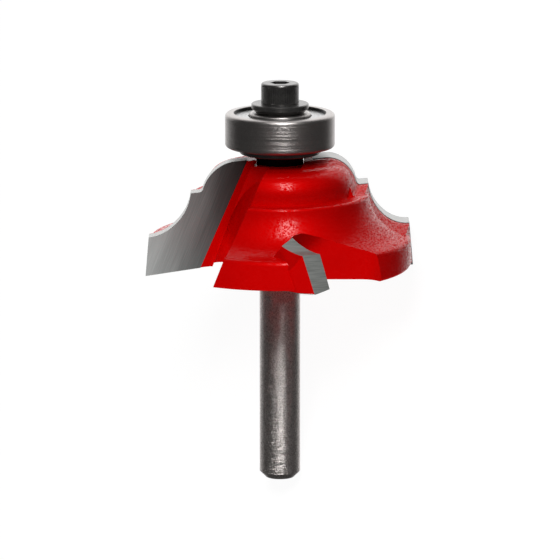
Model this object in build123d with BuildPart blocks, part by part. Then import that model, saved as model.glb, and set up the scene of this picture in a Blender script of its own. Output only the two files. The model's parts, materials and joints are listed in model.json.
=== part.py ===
from build123d import *
from math import acos, asin, atan, atan2, cos, pi, radians, sin, sqrt, tan
import os

# Router bit for a classical cove and bead, 41 mm across, on a 6 mm shank, with a 16 mm guide bearing.
# It is modelled along its own axis first: Z runs from the shank end up to the guide bearing,
# and it turns anticlockwise seen from the bearing. The last section lays it down as it rests.

# Shank and overall heights
shank_radius = 3.0
shank_chamfer = 0.9
shank_length = 31.9
shank_root_radius = 0.5

# Cutting form, as radius and height of the edges in turning
cutting_radius = 20.5
cutter_overhang = 0.4
tip_height = 6.0
cove_radius = 6.2
bead_radius = 4.76
bead_centre_drop = 0.5
step_width = 1.86
step_round = 0.6

# Turned head behind the cutters
rim_set_back = 1.35
cove_set_back = 1.5
head_step_drop = 1.05
head_bead_radius = 3.0
head_bead_set_back = 1.84
head_top_drop = 0.96
rim_foot_round = 0.6
rim_top_round = 0.8
step_corner_round = 0.5

# Large cutters: rake face by the azimuth of its tip, its direction in plan and its shear
large_tip_azimuth = 17.8
large_rake_direction = 29.0
large_shear = 14.3
large_thickness = 3.0
large_relief = 28.0
large_relief_drop = 3.0
large_foot_width = 8.97
large_crown_flat = 2.17
large_foot_rise = 2.2

# Wing that backs a large cutter
wing_set_back = 0.1
wing_strip = 1.5
wing_land_depth = 3.8
wing_heel_depth = 3.3
wing_heel_relief = 38.0
wing_heel_drop = 14.0

# Large gullet, in plan at the foot of the cutters: its run, its floor and its far wall
gullet_lean_inward = 0.315
gullet_strip_end = 10.5
gullet_far_wall_inset = 13.19
gullet_far_wall_slope = 0.15
gullet_floor = -2.2
gullet_margin = 1.0
slot_side_inset = 10.5
slot_floor = 2.0
slot_run = -0.36
slot_far_wall_run = 0.41
slot_corner_round = 1.1

# Small sheared cutters on the sectors between the wings
small_tip_azimuth = -74.0
small_rake_azimuth = 45.4
small_shear = 16.0
small_thickness = 2.25
small_length = 5.44
small_width = 5.0
small_relief = 8.0
heel_fall = 50.0
heel_slope = 6.0
heel_depth = 0.5
heel_hang = 0.25

# Small gullet ahead of a small cutter, in plan at the foot of the head, from the cutter's tip
scoop_root = 7.6
scoop_floor_inset = 9.71
scoop_near_end = -3.05
scoop_far_end = 7.45
scoop_exit_x = 9.75
scoop_exit_y = 6.91
scoop_run_y = -0.45
scoop_corner_round = 1.5
scoop_exit_round = 3.0
scoop_height = 9.8

# Guide bearing
bearing_radius = 8.0
bearing_bore_radius = 2.5
bearing_width = 5.0
bearing_edge_round = 0.5
ring_edge_round = 0.25
ball_radius = 1.39
ball_count = 7
ball_offset = 0.375
race_depth = 0.265
race_clearance = 0.04
cage_clearance = 0.08
cage_width = 1.15
cage_shield_gap = 0.1
cage_prong_height = 0.7
shield_thickness = 0.25
shield_recess = 0.45
shield_gap = 0.12
snap_ring_width = 0.35
snap_ring_height = 0.3
snap_ring_gap = 2.6
snap_groove_depth = 0.25

# Neck, washers and screw
neck_radius = 3.4
crown_clearance = 0.64
lower_washer_radius = 5.93
lower_washer_thickness = 0.9
spigot_shortfall = 0.1
upper_washer_flange_radius = 4.18
upper_washer_flange_height = 0.7
upper_washer_foot_radius = 3.42
upper_washer_height = 1.4
screw_radius = 1.5
screw_length = 12.0
screw_head_radius = 2.75
screw_head_height = 3.0
screw_edge_round = 0.3
hex_across_flats = 2.5
hex_depth = 1.5
thread_clearance = 0.02
washer_bore_clearance = 0.1
washer_chamfer = 0.12
screw_point_chamfer = 0.4
spigot_clearance = 0.01
tapped_hole_spare = 1.0

# Heights along the axis
head_foot = shank_length
cutter_foot = head_foot - cutter_overhang
tip_top = cutter_foot + tip_height
step_level = tip_top + cove_radius
bead_centre_radius = cutting_radius - cove_radius - step_width - bead_radius
bead_centre_level = step_level - bead_centre_drop
bead_top = bead_centre_level + bead_radius
head_top = bead_top - head_top_drop
neck_top = bead_top + crown_clearance
bearing_foot = neck_top + lower_washer_thickness
bearing_top = bearing_foot + bearing_width
bearing_middle = bearing_foot + bearing_width / 2
spigot_top = bearing_top - spigot_shortfall
upper_washer_top = bearing_top + upper_washer_height
screw_top = upper_washer_top + screw_head_height

half_turns = (0, 180)

# Rake face of the large cutter on the -X side: it faces -Y and its top leads
large_tip = Vector(
    -cutting_radius * cos(radians(large_tip_azimuth)),
    -cutting_radius * sin(radians(large_tip_azimuth)),
    cutter_foot,
)
inward = Vector(cos(radians(large_rake_direction)), sin(radians(large_rake_direction)), 0)
ahead = Vector(sin(radians(large_rake_direction)), -cos(radians(large_rake_direction)), 0)
large_rise = Vector(0, 0, 1) + ahead * tan(radians(large_shear))
large_rake = Plane(origin=large_tip, x_dir=inward, z_dir=inward.cross(large_rise))
hook = radians(large_rake_direction - large_tip_azimuth)
rake_reach = cutting_radius * cos(hook)
rake_miss = cutting_radius * sin(hook)


def on_rake(radius, height):
    """Point of the large rake face that lies at this radius and height of the turned form."""
    climb = height - cutter_foot
    miss = rake_miss - climb * tan(radians(large_shear))
    return (rake_reach - sqrt(radius**2 - miss**2), climb / cos(radians(large_shear)))


def backward(relief, drop):
    """Run of a relieved surface, for one millimetre straight back from the rake face."""
    return -ahead + inward * tan(radians(relief)) - Vector(0, 0, 1) * tan(radians(drop))


def blade(set_back, strip):
    """Face of a large cutter, drawn flat: foot, tip, cove, step, bead and inner side."""
    tip_radius = cutting_radius - set_back
    cove = cove_radius + set_back
    bead = bead_radius - set_back
    ledge = step_level - set_back
    cove_foot = step_level - sqrt(cove**2 - set_back**2)
    step_radius = cutting_radius - sqrt(cove**2 - set_back**2)
    bead_start = asin((ledge - bead_centre_level) / bead)
    cove_turn = (asin(set_back / cove) + acos(set_back / cove)) / 2
    bead_turn = (bead_start + pi / 2) / 2
    crown_level = bead_centre_level + bead
    crown = (crown_level - cutter_foot) / cos(radians(large_shear))
    crown_centre = on_rake(bead_centre_radius, crown_level)
    foot_width = large_foot_width + strip
    head_width = crown_centre[0] + large_crown_flat + strip
    cove_middle = on_rake(cutting_radius - cove * cos(cove_turn), step_level - cove * sin(cove_turn))
    bead_foot = on_rake(bead_centre_radius + bead * cos(bead_start), ledge)
    bead_middle = on_rake(
        bead_centre_radius + bead * cos(bead_turn), bead_centre_level + bead * sin(bead_turn)
    )
    with BuildSketch() as outline:
        with BuildLine():
            Line(on_rake(tip_radius, cutter_foot), on_rake(tip_radius, cove_foot))
            ThreePointArc(on_rake(tip_radius, cove_foot), cove_middle, on_rake(step_radius, ledge))
            Line(on_rake(step_radius, ledge), bead_foot)
            ThreePointArc(bead_foot, bead_middle, crown_centre)
            Polyline(
                crown_centre,
                (head_width, crown),
                (foot_width, foot_width * tan(radians(large_foot_rise))),
                on_rake(tip_radius, cutter_foot),
            )
        make_face()
        fillet(outline.vertices().sort_by_distance(bead_foot)[0], radius=step_round)
    return outline.sketch


def large_plate():
    """Plate of the large cutter on the -X side, with its relieved flanks."""
    with BuildPart() as plate:
        with BuildSketch(large_rake):
            add(blade(0, 0))
        run = backward(large_relief, large_relief_drop)
        extrude(amount=large_thickness * run.length, dir=run)
    return plate.part


# Small cutter at the front: its rake face looks along the turn and its foot leads
small_tip = Vector(
    cutting_radius * cos(radians(small_tip_azimuth)),
    cutting_radius * sin(radians(small_tip_azimuth)),
    tip_top,
)
small_facing = Vector(
    cos(radians(small_rake_azimuth)) * cos(radians(small_shear)),
    sin(radians(small_rake_azimuth)) * cos(radians(small_shear)),
    sin(radians(small_shear)),
)
small_inward = Vector(-sin(radians(small_rake_azimuth)), cos(radians(small_rake_azimuth)), 0)
small_rake = Plane(origin=small_tip, x_dir=small_inward, z_dir=small_facing)


def turned_form(set_back):
    """Solid that the cutting edges sweep, from under the foot to the cove, less a set back."""
    cove = cove_radius + set_back
    with BuildPart() as form:
        with BuildSketch(Plane.XZ):
            with BuildLine():
                Polyline(
                    (0, step_level),
                    (0, head_foot - small_width),
                    (cutting_radius - set_back, head_foot - small_width),
                    (cutting_radius - set_back, step_level - sqrt(cove**2 - set_back**2)),
                )
                ThreePointArc(
                    (cutting_radius - set_back, step_level - sqrt(cove**2 - set_back**2)),
                    (cutting_radius - cove * cos(pi / 4), step_level - cove * sin(pi / 4)),
                    (cutting_radius - cove, step_level),
                )
                Line((cutting_radius - cove, step_level), (0, step_level))
            make_face()
        revolve(axis=Axis.Z)
    return form.part.rotate(Axis(small_tip, (0, 0, 1)), small_relief)


def small_plate():
    """Plate of the small cutter at the front: square ends, its flank cut to the form."""
    with BuildPart() as plate:
        with BuildSketch(small_rake):
            with Locations((-small_thickness, -small_length)):
                Rectangle(
                    small_width + small_thickness,
                    small_length + small_width,
                    align=(Align.MIN, Align.MIN),
                )
        extrude(amount=-small_thickness)
        add(turned_form(0), mode=Mode.INTERSECT)
    return plate.part


large_blank = large_plate()
small_blank = small_plate()

# Gullets: each is a straight cut, drawn in plan under the head and run up past it
gullet_base = head_foot - gullet_margin
gullet_span = head_top - head_foot + 2 * gullet_margin
base_drop = gullet_base - cutter_foot
gullet_run = large_rise + inward * gullet_lean_inward
gullet_start = large_tip + gullet_run * base_drop
far_wall_shift = slot_far_wall_run * base_drop
gullet_far_wall = gullet_far_wall_inset - cutting_radius
outside = 2 * cutting_radius


def far_wall(y):
    """Place of the gullet's far wall in plan, at the height where the cuts are drawn."""
    return gullet_far_wall + far_wall_shift + gullet_far_wall_slope * y


with BuildPart() as large_gullet:
    rake_end = gullet_start + inward * gullet_strip_end
    rake_out = gullet_start - inward * cutting_radius
    with BuildSketch(Plane.XY.offset(gullet_base)):
        with BuildLine():
            Polyline(
                (rake_out.X, rake_out.Y),
                (rake_end.X, rake_end.Y),
                (far_wall(gullet_floor), gullet_floor),
                (far_wall(-outside), -outside),
                (-outside, -outside),
                (rake_out.X, rake_out.Y),
            )
        make_face()
    extrude(amount=gullet_span * gullet_run.length, dir=gullet_run)
    slot_shift = base_drop * slot_run
    slot_direction = Vector(gullet_far_wall_slope * slot_run + slot_far_wall_run, slot_run, 1)
    slot_corner = slot_side_inset - cutting_radius + base_drop * slot_direction.X
    with BuildSketch(Plane.XY.offset(gullet_base)) as slot_plan:
        with BuildLine():
            Polyline(
                (slot_corner, -cutting_radius / 2),
                (slot_corner, slot_floor + slot_shift),
                (far_wall(slot_floor + slot_shift), slot_floor + slot_shift),
                (far_wall(-cutting_radius / 2), -cutting_radius / 2),
                (slot_corner, -cutting_radius / 2),
            )
        make_face()
        fillet(slot_plan.vertices().group_by(Axis.Y)[-1], radius=slot_corner_round)
    extrude(amount=gullet_span * slot_direction.length, dir=slot_direction)

with BuildPart() as small_gullet:
    scoop_lift = (small_facing.Y * -scoop_run_y - small_facing.Z) / small_facing.X
    scoop_run = Vector(scoop_lift, scoop_run_y, 1)
    scoop_start = small_tip + scoop_run * (gullet_base - tip_top)
    scoop_end = scoop_start + small_inward * scoop_root
    scoop_out = scoop_start - small_inward * cutting_radius
    scoop_near = (small_tip.X + scoop_near_end, small_tip.Y + scoop_floor_inset)
    scoop_far = (small_tip.X + scoop_far_end, small_tip.Y + scoop_floor_inset)
    scoop_exit = (small_tip.X + scoop_exit_x, small_tip.Y + scoop_exit_y)
    with BuildSketch(Plane.XY.offset(gullet_base)) as scoop_plan:
        with BuildLine():
            Polyline(
                (scoop_out.X, scoop_out.Y),
                (scoop_end.X, scoop_end.Y),
                scoop_near,
                scoop_far,
                scoop_exit,
                (scoop_exit[0] + cutting_radius / 2, scoop_exit[1] - cutting_radius),
                (scoop_out.X, scoop_out.Y),
            )
        make_face()
        for corner in ((scoop_end.X, scoop_end.Y), scoop_near):
            fillet(scoop_plan.vertices().sort_by_distance(corner)[0], radius=scoop_corner_round)
        fillet(scoop_plan.vertices().sort_by_distance(scoop_far)[0], radius=scoop_exit_round)
    extrude(amount=scoop_height * scoop_run.length, dir=scoop_run)

# Heel that backs a small cutter: its back, a little lower than the cutter's, falls into the cove
with BuildPart() as small_heel:
    with BuildSketch(small_rake):
        with Locations((0, -small_length)):
            Rectangle(
                small_width,
                small_length + small_width,
                align=(Align.MIN, Align.MIN),
            )
    extrude(amount=-small_thickness)
    add(turned_form(wing_set_back), mode=Mode.INTERSECT)
    heel_back = small_heel.faces().filter_by(small_rake).sort_by_distance(small_tip)[-1]
    small_back = Vector(-small_facing.X, -small_facing.Y, 0).normalized()
    fall = radians(heel_fall)
    heel_run = (small_inward * cos(fall) - Vector(0, 0, 1) * sin(fall)) * heel_slope + small_back
    extrude(heel_back, amount=heel_depth * heel_run.length, dir=heel_run)
    split(bisect_by=Plane.XY.offset(head_foot - heel_hang), keep=Keep.TOP)

# Wing that backs the large cutter on the -X side: a land under the cutter, then a heel
with BuildPart() as wing:
    land_run = backward(large_relief, large_relief_drop)
    heel_run = backward(wing_heel_relief, wing_heel_drop)
    with BuildSketch(large_rake):
        add(blade(wing_set_back, wing_strip))
    extrude(amount=wing_land_depth * land_run.length, dir=land_run)
    land_end = large_tip + land_run * wing_land_depth
    with BuildSketch(Plane(origin=land_end, x_dir=inward, z_dir=large_rake.z_dir)):
        add(blade(wing_set_back, wing_strip))
    extrude(amount=wing_heel_depth * heel_run.length, dir=heel_run)
    split(bisect_by=Plane.XY.offset(head_foot), keep=Keep.TOP)

# Body: one piece of steel from shank to bearing spigot, with pockets for the cutters
with BuildPart() as cutter_body:
    rim_radius = cutting_radius - rim_set_back
    head_cove = cove_radius + cove_set_back
    head_step = step_level - head_step_drop
    rim_level = step_level - sqrt(head_cove**2 - rim_set_back**2)
    ledge_radius = cutting_radius - sqrt(head_cove**2 - head_step_drop**2)
    head_bead_side = bead_centre_radius + bead_radius - head_bead_set_back
    head_bead_centre = head_bead_side - head_bead_radius
    with BuildSketch(Plane.XZ) as head_profile:
        with BuildLine():
            Polyline((0, head_top), (0, head_foot), (rim_radius, head_foot), (rim_radius, rim_level))
            ThreePointArc(
                (rim_radius, rim_level),
                (cutting_radius - head_cove * cos(pi / 4), step_level - head_cove * sin(pi / 4)),
                (ledge_radius, head_step),
            )
            Polyline(
                (ledge_radius, head_step),
                (head_bead_side, head_step),
                (head_bead_side, head_top - head_bead_radius),
            )
            CenterArc(
                (head_bead_centre, head_top - head_bead_radius), head_bead_radius, 0, 90
            )
            Line((head_bead_centre, head_top), (0, head_top))
        make_face()
        fillet(
            head_profile.vertices().sort_by_distance((rim_radius, head_foot))[0],
            radius=rim_foot_round,
        )
        fillet(
            head_profile.vertices().sort_by_distance((rim_radius, rim_level))[0],
            radius=rim_top_round,
        )
        fillet(
            head_profile.vertices().sort_by_distance((ledge_radius, head_step))[0],
            radius=step_corner_round,
        )
    revolve(axis=Axis.Z)
    for turn in half_turns:
        add(wing.part.rotate(Axis.Z, turn))
        add(small_heel.part.rotate(Axis.Z, turn))
    for turn in half_turns:
        add(large_gullet.part.rotate(Axis.Z, turn), mode=Mode.SUBTRACT)
        add(small_gullet.part.rotate(Axis.Z, turn), mode=Mode.SUBTRACT)
    with BuildSketch(Plane.XZ):
        with BuildLine():
            Polyline(
                (0, 0),
                (shank_radius - shank_chamfer, 0),
                (shank_radius, shank_chamfer),
                (shank_radius, head_foot - shank_root_radius),
            )
            CenterArc(
                (shank_radius + shank_root_radius, head_foot - shank_root_radius),
                shank_root_radius,
                90,
                90,
            )
            Polyline(
                (shank_radius + shank_root_radius, head_foot),
                (neck_radius, head_foot),
                (neck_radius, neck_top),
                (bearing_bore_radius - spigot_clearance, neck_top),
                (bearing_bore_radius - spigot_clearance, spigot_top),
                (0, spigot_top),
                (0, 0),
            )
        make_face()
    revolve(axis=Axis.Z)
    for turn in half_turns:
        add(large_blank.rotate(Axis.Z, turn), mode=Mode.SUBTRACT)
        add(small_blank.rotate(Axis.Z, turn), mode=Mode.SUBTRACT)
    tapped_depth = screw_length - upper_washer_height - spigot_shortfall + tapped_hole_spare
    with Locations((0, 0, spigot_top)):
        Hole(radius=screw_radius + thread_clearance, depth=tapped_depth)

# Cutters, brazed in their pockets
large_cutters = []
small_cutters = []
for turn in half_turns:
    with BuildPart() as large_cutter:
        add(large_blank.rotate(Axis.Z, turn))
    large_cutters.append(large_cutter)
    with BuildPart() as small_cutter:
        add(small_blank.rotate(Axis.Z, turn))
    small_cutters.append(small_cutter)

# Washer under the guide bearing: it clears the outer ring and carries only the inner one
with BuildPart() as lower_washer:
    with BuildSketch(Plane.XY.offset(neck_top)):
        Circle(lower_washer_radius)
        Circle(bearing_bore_radius, mode=Mode.SUBTRACT)
    extrude(amount=lower_washer_thickness)
    chamfer(lower_washer.edges().filter_by(GeomType.CIRCLE).group_by(SortBy.RADIUS)[-1], washer_chamfer)

# Guide bearing: two rings, caged balls, and a shield with its snap ring at each face
ball_pitch_radius = (bearing_bore_radius + bearing_radius) / 2 + ball_offset
inner_land_radius = ball_pitch_radius - ball_radius + race_depth
outer_land_radius = ball_pitch_radius + ball_radius - race_depth
race_radius = ball_radius + race_clearance
groove_radius = outer_land_radius + snap_groove_depth

with BuildPart() as inner_ring:
    with BuildSketch(Plane.XZ) as inner_section:
        with Locations(((bearing_bore_radius + inner_land_radius) / 2, bearing_middle)):
            Rectangle(inner_land_radius - bearing_bore_radius, bearing_width)
        fillet(inner_section.vertices(), radius=ring_edge_round)
        with Locations((ball_pitch_radius, bearing_middle)):
            Circle(race_radius, mode=Mode.SUBTRACT)
    revolve(axis=Axis.Z)

with BuildPart() as outer_ring:
    with BuildSketch(Plane.XZ) as outer_section:
        with Locations(((outer_land_radius + bearing_radius) / 2, bearing_middle)):
            Rectangle(bearing_radius - outer_land_radius, bearing_width)
        fillet(outer_section.vertices().group_by(Axis.X)[-1], radius=bearing_edge_round)
        with Locations((ball_pitch_radius, bearing_middle)):
            Circle(race_radius, mode=Mode.SUBTRACT)
        for side in (-1, 1):
            groove_level = bearing_middle + side * (bearing_width / 2 - shield_recess)
            with Locations((groove_radius, groove_level + side * snap_ring_height / 2)):
                Rectangle(2 * snap_groove_depth, snap_ring_height, mode=Mode.SUBTRACT)
    revolve(axis=Axis.Z)

balls = []
for number in range(ball_count):
    ball_angle = 360 / ball_count * number
    with BuildPart() as ball:
        with PolarLocations(ball_pitch_radius, 1, start_angle=ball_angle):
            with Locations((0, 0, bearing_middle)):
                Sphere(ball_radius)
    balls.append(ball)

with BuildPart() as ball_cage:
    cage_depth = bearing_width / 2 - shield_recess - shield_thickness - cage_shield_gap
    with BuildSketch(Plane.XY.offset(bearing_middle - cage_depth)):
        Circle(ball_pitch_radius + cage_width / 2)
        Circle(ball_pitch_radius - cage_width / 2, mode=Mode.SUBTRACT)
    extrude(amount=cage_depth + cage_prong_height)
    with PolarLocations(ball_pitch_radius, ball_count):
        with Locations((0, 0, bearing_middle)):
            Sphere(ball_radius + cage_clearance, mode=Mode.SUBTRACT)

shields = []
snap_rings = []
for side in (-1, 1):
    seat_level = bearing_middle + side * (bearing_width / 2 - shield_recess)
    with BuildPart() as shield:
        with BuildSketch(Plane.XY.offset(seat_level)):
            Circle(outer_land_radius)
            Circle(inner_land_radius + shield_gap, mode=Mode.SUBTRACT)
        extrude(amount=-side * shield_thickness)
    shields.append(shield)
    with BuildPart() as snap_ring:
        with BuildSketch(Plane.XY.offset(seat_level)):
            Circle(groove_radius)
            Circle(groove_radius - snap_ring_width, mode=Mode.SUBTRACT)
            with Locations((0, groove_radius)):
                Rectangle(snap_ring_gap, snap_ring_gap, mode=Mode.SUBTRACT)
        extrude(amount=side * snap_ring_height)
    snap_rings.append(snap_ring)

# Washer over the guide bearing: its foot clamps the inner ring
with BuildPart() as upper_washer:
    flange_level = upper_washer_top - upper_washer_flange_height
    with BuildSketch(Plane.XZ):
        with BuildLine():
            Polyline(
                (0, bearing_top),
                (upper_washer_foot_radius, bearing_top),
                (upper_washer_flange_radius, flange_level),
                (upper_washer_flange_radius, upper_washer_top),
                (0, upper_washer_top),
                (0, bearing_top),
            )
        make_face()
    revolve(axis=Axis.Z)
    chamfer(upper_washer.edges().filter_by(GeomType.CIRCLE).sort_by(Axis.Z)[-1], washer_chamfer)
    with Locations((0, 0, upper_washer_top)):
        Hole(radius=screw_radius + washer_bore_clearance)

# Socket cap screw that holds the washers and the bearing on the spigot
with BuildPart() as cap_screw:
    with BuildSketch(Plane.XY.offset(upper_washer_top - screw_length)):
        Circle(screw_radius)
    extrude(amount=screw_length)
    chamfer(cap_screw.edges().sort_by(Axis.Z)[0], screw_point_chamfer)
    with BuildSketch(Plane.XY.offset(upper_washer_top)):
        Circle(screw_head_radius)
    extrude(amount=screw_head_height)
    fillet(cap_screw.edges().sort_by(Axis.Z)[-1], radius=screw_edge_round)
    with BuildSketch(Plane.XY.offset(screw_top)):
        RegularPolygon(radius=hex_across_flats / 2, side_count=6, major_radius=False)
    extrude(amount=-hex_depth, mode=Mode.SUBTRACT)

pieces = {
    "cutter_body": cutter_body,
    "lower_washer": lower_washer,
    "inner_ring": inner_ring,
    "outer_ring": outer_ring,
    "ball_cage": ball_cage,
    "upper_washer": upper_washer,
    "cap_screw": cap_screw,
}
for number, large_cutter in enumerate(large_cutters, 1):
    pieces[f"large_cutter_{number}"] = large_cutter
for number, small_cutter in enumerate(small_cutters, 1):
    pieces[f"small_cutter_{number}"] = small_cutter
for number, ball in enumerate(balls, 1):
    pieces[f"ball_{number}"] = ball
for end, shield, snap_ring in zip(("lower", "upper"), shields, snap_rings):
    pieces[f"{end}_shield"] = shield
    pieces[f"{end}_snap_ring"] = snap_ring

# At rest the bit lies on three points: the chamfered edge of the shank, the foot of a large
# cutter's tip, and the rounded corner of the head's rim across the gullet from that tip
rim_corner_radius = rim_radius - rim_foot_round
rim_corner_level = head_foot + rim_foot_round
wall_place = gullet_far_wall + slot_far_wall_run * (rim_corner_level - cutter_foot)
wall_part = gullet_far_wall_slope * wall_place
wall_square = 1 + gullet_far_wall_slope**2
corner_y = sqrt(wall_part**2 + wall_square * (rim_corner_radius**2 - wall_place**2)) + wall_part
corner_y = corner_y / wall_square
rim_corner_azimuth = atan2(corner_y, -(wall_place - gullet_far_wall_slope * corner_y))
tip_azimuth = radians(large_tip_azimuth)


def lean_on_tip(azimuth):
    """Tilt of the axis when the shank edge and the tip both touch a floor that lies this way."""
    return atan((cutting_radius * cos(tip_azimuth - azimuth) - shank_radius) / (cutter_foot - shank_chamfer))


def rim_height(azimuth):
    """Height of the rounded rim corner above that floor."""
    lean = lean_on_tip(azimuth)
    out = rim_corner_radius * cos(rim_corner_azimuth - azimuth) - shank_radius
    return sin(lean) * (rim_corner_level - shank_chamfer) - cos(lean) * out - rim_foot_round


low = tip_azimuth
high = rim_corner_azimuth
for step in range(40):
    floor_azimuth = (low + high) / 2
    if rim_height(floor_azimuth) > 0:
        low = floor_azimuth
    else:
        high = floor_azimuth
lean = lean_on_tip(floor_azimuth)
up = Vector(-cos(lean) * cos(floor_azimuth), -cos(lean) * sin(floor_azimuth), sin(lean))
along = (Vector(0, 0, 1) - up * sin(lean)).normalized()
floor_plane = Plane(origin=(0, 0, 0), x_dir=along.cross(up), z_dir=up)

for piece in pieces.values():
    piece.part = floor_plane.to_local_coords(piece.part)
whole = Compound([piece.part for piece in pieces.values()]).bounding_box()
to_floor = Location((-whole.center().X, -whole.center().Y, -whole.min.Z))

os.makedirs("parts", exist_ok=True)
for name, piece in pieces.items():
    piece.part = to_floor * piece.part
    piece.part.label = name
    export_step(piece.part, f"parts/{name}.step")
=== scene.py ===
import json
from math import asin, cos, radians, sin

import bpy
from mathutils import Matrix, Vector

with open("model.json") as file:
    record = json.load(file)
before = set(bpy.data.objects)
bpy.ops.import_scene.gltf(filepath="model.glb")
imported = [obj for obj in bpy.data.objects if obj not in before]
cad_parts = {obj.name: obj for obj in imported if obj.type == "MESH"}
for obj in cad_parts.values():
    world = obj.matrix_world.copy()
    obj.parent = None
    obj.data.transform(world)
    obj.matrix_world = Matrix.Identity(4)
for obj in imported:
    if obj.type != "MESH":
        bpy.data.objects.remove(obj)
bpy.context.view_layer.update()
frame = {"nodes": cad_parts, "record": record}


# Cutter body
# One bar of steel, turned to the shank, the head and the neck under the guide bearing, with its
# gullets milled. The head is coated with glossy red, the shank is ground bare and the neck is
# coloured near black.

# The bit lies on the floor, and its own Z runs along its axis, from the shank's end
shank = frame["record"]["mounts"][0]
shank_chamfer = 0.0009
tool_z = -Vector(shank["axis"]).normalized()
shank_end = Vector(shank["pos_m"]) - tool_z * shank_chamfer

# The floor lies on this side of the axis, counted from the photograph's right towards its depth
floor_azimuth = radians(45.53)
lean = asin(tool_z.z)
floor_side = (tool_z * sin(lean) - Vector((0, 0, 1))) / cos(lean)
across = tool_z.cross(floor_side)
tool_x = floor_side * cos(floor_azimuth) - across * sin(floor_azimuth)
tool_y = floor_side * sin(floor_azimuth) + across * cos(floor_azimuth)

# Heights above the shank's end and a distance from the axis, in millimetres
head_foot = 31.75
neck_foot = 47.05
neck_reach = 3.6


class Signal:
    """A number or colour on its way between shader nodes: arithmetic on it adds Math nodes."""

    def __init__(self, nodes, socket):
        self.nodes = nodes
        self.socket = socket

    def math(self, operation, first, second=0.0):
        return self.nodes.node("ShaderNodeMath", {"operation": operation}, {0: first, 1: second})

    def __add__(self, other):
        return self.math("ADD", self, other)

    __radd__ = __add__

    def __sub__(self, other):
        return self.math("SUBTRACT", self, other)

    def __rsub__(self, other):
        return self.math("SUBTRACT", other, self)

    def __mul__(self, other):
        return self.math("MULTIPLY", self, other)

    __rmul__ = __mul__

    def __truediv__(self, other):
        return self.math("DIVIDE", self, other)

    def __pow__(self, other):
        return self.math("POWER", self, other)

    def above(self, level):
        """One where the number is over the level, and nought elsewhere."""
        return self.math("GREATER_THAN", self, level)

    def sine(self):
        return self.math("SINE", self)

    def angle_over(self, base):
        """The angle whose tangent is this number over the base, in radians."""
        return self.math("ARCTAN2", self, base)


class Nodes:
    """The shader nodes of one material, or of the world."""

    def __init__(self, tree):
        self.tree = tree
        self.tree.nodes.clear()

    def node(self, kind, settings, inputs, output=0):
        """Adds a node with its settings, then the values and links of its sockets."""
        node = self.tree.nodes.new(kind)
        for name, value in settings.items():
            if name == "stops":
                ramp = node.color_ramp
                while len(ramp.elements) < len(value):
                    ramp.elements.new(0.5)
                for element, (position, colour) in zip(ramp.elements, value):
                    element.position = position
                    element.color = (*colour, 1)
            else:
                setattr(node, name, value)
        for name, value in inputs.items():
            if isinstance(value, Signal):
                self.tree.links.new(value.socket, node.inputs[name])
            else:
                node.inputs[name].default_value = value
        return Signal(self, node.outputs[output]) if node.outputs else None


class Finish(Nodes):
    """A material for one finish. Its places are in millimetres along the bit's own axes."""

    def __init__(self, name):
        self.material = bpy.data.materials.new(name)
        self.material.use_nodes = True
        super().__init__(self.material.node_tree)
        place = self.node("ShaderNodeTexCoord", {}, {}, "Object")
        subtract = {"operation": "SUBTRACT"}
        self.from_end = self.node("ShaderNodeVectorMath", subtract, {0: place, 1: shank_end})

    def along(self, direction):
        """Distance from the shank's end along a direction, in millimetres."""
        inputs = {0: self.from_end, 1: direction * 1000}
        return self.node("ShaderNodeVectorMath", {"operation": "DOT_PRODUCT"}, inputs, "Value")

    def vector(self, x, y, z):
        return self.node("ShaderNodeCombineXYZ", {}, {0: x, 1: y, 2: z})

    def noise(self, vector, detail, per_mm=1.0):
        """Noise with this many waves per millimetre, and finer waves over them."""
        inputs = {"Vector": vector, "Scale": per_mm, "Detail": detail}
        return self.node("ShaderNodeTexNoise", {"noise_dimensions": "3D"}, inputs, "Fac")

    def between(self, value, low, high):
        """Nought below the low value, one above the high value, and rising evenly from one to the
        other."""
        inputs = {"Value": value, "From Min": low, "From Max": high}
        return self.node("ShaderNodeMapRange", {"clamp": True}, inputs)

    def ramp(self, value, *stops):
        return self.node("ShaderNodeValToRGB", {"stops": stops}, {"Fac": value}, "Color")

    def mix(self, mask, first, second):
        """The first colour where the mask is nought, and the second where it is one."""
        return self.node("ShaderNodeMix", {"data_type": "RGBA"}, {0: mask, 6: first, 7: second}, 2)

    def bump(self, depth):
        """Normals of a surface that stands out by a depth in micrometres."""
        inputs = {"Height": depth, "Distance": 0.000001, "Strength": 1.0}
        return self.node("ShaderNodeBump", {}, inputs, "Normal")

    def close(self, shader):
        self.node("ShaderNodeOutputMaterial", {}, {"Surface": shader})
        return self.material

    def shade(self, inputs):
        return self.close(self.node("ShaderNodeBsdfPrincipled", {}, inputs, "BSDF"))


def wear(name, material):
    """Gives a solid its finish."""
    slots = frame["nodes"][name].data.materials
    slots.clear()
    slots.append(material)


body = Finish("coated_body")
height = body.along(tool_z)
side_x = body.along(tool_x)
side_y = body.along(tool_y)
place = body.vector(side_x, side_y, height)
off_axis = (side_x * side_x + side_y * side_y).above(neck_reach ** 2)
on_neck = height.above(neck_foot) * (1 - off_axis)
on_head = height.above(head_foot)
bare = 1 - on_head

# Coating: a red base that gleams broadly, under a clear coat with a grain that breaks its gleam
orange_peel = body.noise(place, detail=1.0, per_mm=0.9)
grain = body.noise(place, detail=1.0, per_mm=4.5)
patches = body.noise(place, detail=2.0, per_mm=0.25)
red = body.ramp(
    patches * 0.4 + grain * 0.6,
    (0.3, (0.65, 0.0003, 0.0003)),
    (0.7, (0.74, 0.0004, 0.0004)),
)
red_metallic = 0.38
red_roughness = 0.58
clear_coat = body.between(grain, 0.45, 0.55)

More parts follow.
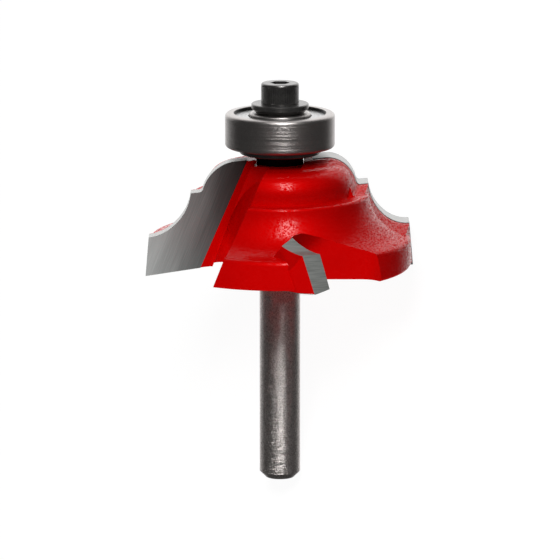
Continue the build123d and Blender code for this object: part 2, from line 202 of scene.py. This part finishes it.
# Bare steel: fine turning rings along the shank, with a speckle of wear over them
rings_per_mm = 30
breaks_per_mm = 0.6
turned_place = body.vector(side_x * breaks_per_mm, side_y * breaks_per_mm, height * rings_per_mm)
rings = body.noise(turned_place, detail=1.0)
speckle = body.noise(place, detail=2.0, per_mm=5.0)
steel = body.ramp(speckle, (0.35, (0.56, 0.515, 0.49)), (0.65, (0.93, 0.87, 0.84)))
steel_roughness = 0.25
# Near-black colour for the neck under the guide bearing
neck_black = body.ramp(grain, (0.3, (0.006, 0.006, 0.007)), (0.7, (0.014, 0.014, 0.015)))

# Both kinds of surface side by side: their roughness, and their relief in micrometres
coated_roughness = grain * 0.1 + red_roughness
bare_roughness = speckle * 0.15 + steel_roughness
coated_relief = orange_peel * 7 + grain * 14
bare_relief = rings * 52 + speckle * 36
wear(
    "cutter_body",
    body.shade(
        {
            "Base Color": body.mix(on_neck, body.mix(on_head, steel, red), neck_black),
            "Metallic": bare + on_head * red_metallic,
            "Roughness": on_head * coated_roughness + bare * bare_roughness,
            "Specular IOR Level": 0.0,
            "Coat Weight": (on_head - on_neck) * clear_coat,
            "Coat Roughness": 0.19,
            "Coat IOR": 1.29,
            "Normal": body.bump(on_head * coated_relief + bare * bare_relief),
        }
    ),
)


# Large cutters
# Plates of sintered carbide, brazed in their pockets. Their rake faces are ground with a wheel
# that leaves fine straight marks, and get painted shade towards the axis. Their flanks get a pale
# colour that is a painted reflection.

# How the first cutter stands: its way in from the tip to the axis, the shear of its rake face
# and the lean of the wheel's marks against that face's own upright
inward_azimuth = radians(29.0)
shear = radians(14.3)
mark_lean = radians(17.0)

# Millimetres from the shank's end: where the flanks begin, square to the rake face, and the
# ramp of painted shade over that face, from the tip inwards
flank_start = -11.74
tip_reach = 20.1
shaded_width = 15

# Waves per millimetre of the wheel's marks
marks_across = 6
marks_along = 0.18
marks_deep = 0.5


def own_direction(x, y, z):
    """A direction given along the bit's own axes, as it points where the bit lies."""
    return tool_x * x + tool_y * y + tool_z * z


def ground_carbide(name, turn):
    """Carbide whose marks run up the rake face of the cutter on this side, 1 or -1."""
    finish = Finish(name)
    inward = own_direction(cos(inward_azimuth), sin(inward_azimuth), 0) * turn
    ahead = own_direction(sin(inward_azimuth), -cos(inward_azimuth), 0) * turn
    climb = ahead * sin(shear) + tool_z * cos(shear)
    stroke = inward * sin(mark_lean) + climb * cos(mark_lean)
    along_marks = finish.along(stroke)
    across_marks = finish.along(inward * cos(mark_lean) - climb * sin(mark_lean))
    depth = finish.along(inward.cross(climb))
    marks = finish.vector(
        across_marks * marks_across, along_marks * marks_along, depth * marks_deep
    )
    scratches = finish.noise(marks, detail=5.0)
    wide_marks = finish.vector(across_marks, along_marks * 0.05, 0.0)
    bands = finish.noise(wide_marks, detail=2.0, per_mm=0.5)
    # Painted shade: the rake face's colour darkens from the tip in towards the axis
    inner = (finish.along(inward) + tip_reach) / shaded_width
    rake_face = finish.ramp(
        inner + (bands - 0.5) * 0.2 + (scratches - 0.5) * 0.25,
        (0.0, (0.56, 0.58, 0.57)),
        (0.35, (0.27, 0.28, 0.275)),
        (0.7, (0.09, 0.1, 0.098)),
        (1.0, (0.02, 0.024, 0.023)),
    )
    # Painted reflection: a pale colour on the flanks in place of the white they mirror
    flank = (0.5, 0.5, 0.49, 1)
    on_flank = 1 - depth.above(flank_start)
    return finish.shade(
        {
            "Base Color": finish.mix(on_flank, rake_face, flank),
            "Metallic": on_flank * 0.5 + 0.35,
            "Roughness": scratches * 0.25 + 0.35,
            "Normal": finish.bump(scratches * 12),
        }
    )


for name, turn in (("large_cutter_1", 1), ("large_cutter_2", -1)):
    wear(name, ground_carbide(name, turn))


# Small cutters
# Short sheared plates of the same carbide, brazed into the rim. They trim the wide edge of the
# profile, and the wheel leaves level marks on them.

small_azimuth = radians(45.4)
level_marks_per_mm = 5


def small_carbide(name, turn):
    """Carbide whose marks run level on the small cutter on this side, 1 or -1."""
    finish = Finish(name)
    facing = own_direction(cos(small_azimuth), sin(small_azimuth), 0) * turn
    out = finish.along(facing) * 0.3
    aside = finish.along(facing.cross(tool_z)) * 0.4
    marks = finish.vector(out, aside, finish.along(tool_z) * level_marks_per_mm)
    scratches = finish.noise(marks, detail=4.0)
    ground = finish.ramp(scratches, (0.3, (0.2, 0.21, 0.2)), (0.7, (0.32, 0.33, 0.315)))
    return finish.shade(
        {
            "Base Color": ground,
            "Metallic": 0.35,
            "Roughness": scratches * 0.2 + 0.35,
            "Normal": finish.bump(scratches * 10),
        }
    )


for name, turn in (("small_cutter_1", 1), ("small_cutter_2", -1)):
    wear(name, small_carbide(name, turn))


# Washers and screw
# Turned steel washers and a cap screw with a knurled head, all blackened with oxide. The screw
# goes into the spigot and clamps the inner ring between the two washers.

knurl_foot = 56.1
knurl_top = 58.5
knurl_ridges = 56
tool_marks_per_mm = 8

black = Finish("black_oxide")
black_x = black.along(tool_x)
black_y = black.along(tool_y)
black_height = black.along(tool_z)
black_place = black.vector(black_x, black_y, black_height)
pitting = black.noise(black_place, detail=4.0, per_mm=12.0)
clouds = black.noise(black_place, detail=2.0, per_mm=0.8)
turned_marks = black.vector(0.0, 0.0, black_height * tool_marks_per_mm)
tool_marks = black.noise(turned_marks, detail=3.0)
on_knurl = black_height.above(knurl_foot) * (1 - black_height.above(knurl_top))
knurl = (black_y.angle_over(black_x) * knurl_ridges).sine() * on_knurl
oxide = black.ramp(
    clouds + pitting * 0.3,
    (0.4, (0.11, 0.107, 0.104)),
    (0.9, (0.2, 0.194, 0.188)),
)
black_oxide = black.shade(
    {
        "Base Color": oxide,
        "Metallic": 0.9,
        "Roughness": pitting * 0.2 + 0.2,
        "Normal": black.bump(pitting * 5 + tool_marks * 5 + knurl * 30),
    }
)
for name in ("lower_washer", "upper_washer", "cap_screw"):
    wear(name, black_oxide)


# Bearing rings
# The inner and outer ring of a ball bearing, of hardened bearing steel. They are turned, then
# ground round, which leaves fine level lines.

lines_out_per_mm = 3
lines_up_per_mm = 30


def ring_steel(name, dark, light, roughness, groove):
    """Metal finished round the bit's axis, with grooves of this depth in micrometres."""
    finish = Finish(name)
    x = finish.along(tool_x)
    y = finish.along(tool_y)
    level = finish.along(tool_z)
    out = (x * x + y * y) ** 0.5
    ground_round = finish.vector(out * lines_out_per_mm, 0.0, level * lines_up_per_mm)
    lines = finish.noise(ground_round, detail=0.0)
    fine = finish.noise(finish.vector(x, y, level), detail=3.0, per_mm=8.0)
    return finish.shade(
        {
            "Base Color": finish.ramp(lines * 0.7 + fine * 0.3, (0.35, dark), (0.65, light)),
            "Metallic": 1.0,
            "Roughness": fine * 0.1 + roughness,
            "Normal": finish.bump((lines + fine * 0.04) * groove),
        }
    )


race_steel = ring_steel(
    "bearing_steel", dark=(0.3, 0.28, 0.27), light=(0.5, 0.47, 0.455), roughness=0.29, groove=24
)
for name in ("inner_ring", "outer_ring"):
    wear(name, race_steel)


# Balls and cage
# Seven polished steel balls run between the rings. A cage of pressed sheet keeps them apart and
# turns with them.

polished = ring_steel(
    "polished_balls", dark=(0.55, 0.55, 0.55), light=(0.65, 0.65, 0.65), roughness=0.06, groove=1
)
ball_count = 7
for number in range(ball_count):
    wear(f"ball_{number + 1}", polished)
cage_sheet = ring_steel(
    "cage_sheet", dark=(0.25, 0.24, 0.22), light=(0.35, 0.33, 0.31), roughness=0.35, groove=4
)
wear("ball_cage", cage_sheet)


# Shields and snap rings
# Shields of pressed steel sheet close the bearing at both faces. Rings of dark spring wire snap
# into the outer ring and hold them.

shield_steel = ring_steel(
    "shield_steel", dark=(0.36, 0.36, 0.36), light=(0.5, 0.5, 0.5), roughness=0.25, groove=4
)
wire = ring_steel(
    "snap_ring_wire", dark=(0.03, 0.03, 0.03), light=(0.07, 0.07, 0.07), roughness=0.35, groove=4
)
for end in ("lower", "upper"):
    wear(f"{end}_shield", shield_steel)
    wear(f"{end}_snap_ring", wire)


# Camera
# It looks down on the bit's middle as the photograph does, with the bit's own axis upright in
# the picture.

photo_dip = radians(11.92)
photo_distance = 0.65
photo_middle = 0.0296
pixels_per_metre = 6820
photo_width = 560
sensor = 36

toward_camera = own_direction(0, -cos(photo_dip), sin(photo_dip))
camera_up = own_direction(0, sin(photo_dip), cos(photo_dip))
target = shank_end + tool_z * photo_middle
camera_data = bpy.data.cameras.new("photo_camera")
camera_data.sensor_width = sensor
camera_data.lens = sensor * pixels_per_metre * photo_distance / photo_width
camera_data.clip_start = 0.05
camera_data.clip_end = 20
camera = bpy.data.objects.new("photo_camera", camera_data)
turned = Matrix((tool_x, camera_up, toward_camera)).transposed().to_4x4()
camera.matrix_world = Matrix.Translation(target + toward_camera * photo_distance) @ turned
bpy.context.scene.collection.objects.link(camera)
bpy.context.scene.camera = camera


# Floor
# A pale matte floor that takes the bit's shadow. A glow that only the camera sees lifts it to
# the white of the background, and it neither blocks the light nor shows in the metal.

floor_glow = 1.09
glow_share = 0.87

bpy.ops.object.select_all(action="DESELECT")
bpy.ops.mesh.primitive_plane_add(size=4, location=(0, 0, 0))
floor = bpy.context.active_object
floor.name = "floor"
pale = Finish("pale_floor")
camera_ray = pale.node("ShaderNodeLightPath", {}, {}, "Is Camera Ray")
matte = pale.node("ShaderNodeBsdfDiffuse", {}, {"Color": (0.85, 0.85, 0.85, 1)})
glow = pale.node("ShaderNodeEmission", {}, {"Color": (1, 1, 1, 1), "Strength": floor_glow})
seen_floor = pale.node("ShaderNodeMixShader", {}, {0: camera_ray * glow_share, 1: matte, 2: glow})
floor.data.materials.append(pale.close(seen_floor))
floor.visible_glossy = False
floor.visible_diffuse = False
floor.visible_shadow = False


# Lights
# One soft box is only mirrored, as the spots of light on the red and the streaks on the metal.
# Two only light the surfaces, from above and from below. The world is white to the camera, and
# metal mirrors it as a white sweep at its sides.


def soft_box(name, direction, distance, width, tall, power, mirrored):
    """A soft box that faces the bit from a direction along the bit's own axes."""
    data = bpy.data.lights.new(name, "AREA")
    data.shape = "RECTANGLE"
    data.size = width
    data.size_y = tall
    data.energy = power
    data.cycles.use_multiple_importance_sampling = mirrored
    lamp = bpy.data.objects.new(name, data)
    out = own_direction(*direction).normalized()
    right = tool_z.cross(out).normalized()
    turned = Matrix((right, out.cross(right), out)).transposed().to_4x4()
    lamp.matrix_world = Matrix.Translation(target + out * distance) @ turned
    lamp.visible_camera = False
    lamp.visible_glossy = mirrored
    lamp.visible_diffuse = not mirrored
    bpy.context.scene.collection.objects.link(lamp)


soft_box(
    "front_box",
    direction=(0.13, -0.66, 0.74),
    distance=0.4,
    width=0.11,
    tall=0.26,
    power=1.4,
    mirrored=True,
)
soft_box(
    "key_box",
    direction=(-0.18, -0.73, 0.66),
    distance=0.5,
    width=0.2,
    tall=0.2,
    power=1.5,
    mirrored=False,
)
soft_box(
    "under_box",
    direction=(-0.05, -0.5, -0.85),
    distance=0.5,
    width=0.2,
    tall=0.2,
    power=2.3,
    mirrored=False,
)

world = bpy.data.worlds.new("studio")
bpy.context.scene.world = world
world.use_nodes = True
world.cycles.sampling_method = "NONE"
air = Nodes(world.node_tree)
heading = air.node("ShaderNodeTexCoord", {}, {}, "Generated")


def sky(toward, *levels):
    """A background whose brightness follows how far a ray points in one direction. Each level is
    such a reach and the brightness there."""
    reach = air.node(
        "ShaderNodeVectorMath", {"operation": "DOT_PRODUCT"}, {0: heading, 1: toward}, "Value"
    )
    stops = [(position, (level, level, level)) for position, level in levels]
    brightness = air.node("ShaderNodeValToRGB", {"stops": stops}, {"Fac": reach}, "Color")
    return air.node("ShaderNodeBackground", {}, {"Color": brightness})


def choose(ray, other, chosen):
    """The chosen background for one kind of ray, and the other for the rest."""
    is_ray = air.node("ShaderNodeLightPath", {}, {}, ray)
    return air.node("ShaderNodeMixShader", {}, {0: is_ray, 1: other, 2: chosen})


# Light that comes back from the table's near side, and the sweep that metal mirrors
table_glow = sky(own_direction(0.05, -0.7, -0.7), (0.0, 0.05), (1.0, 0.25))
sweep = sky(tool_z * 0.6 - toward_camera, (0.52, 0.055), (0.88, 1.5))
backdrop = air.node("ShaderNodeBackground", {}, {"Color": (1, 1, 1, 1)})
around = choose("Is Camera Ray", choose("Is Glossy Ray", table_glow, sweep), backdrop)
air.node("ShaderNodeOutputWorld", {}, {"Surface": around})

bpy.context.scene.view_settings.view_transform = "Standard"
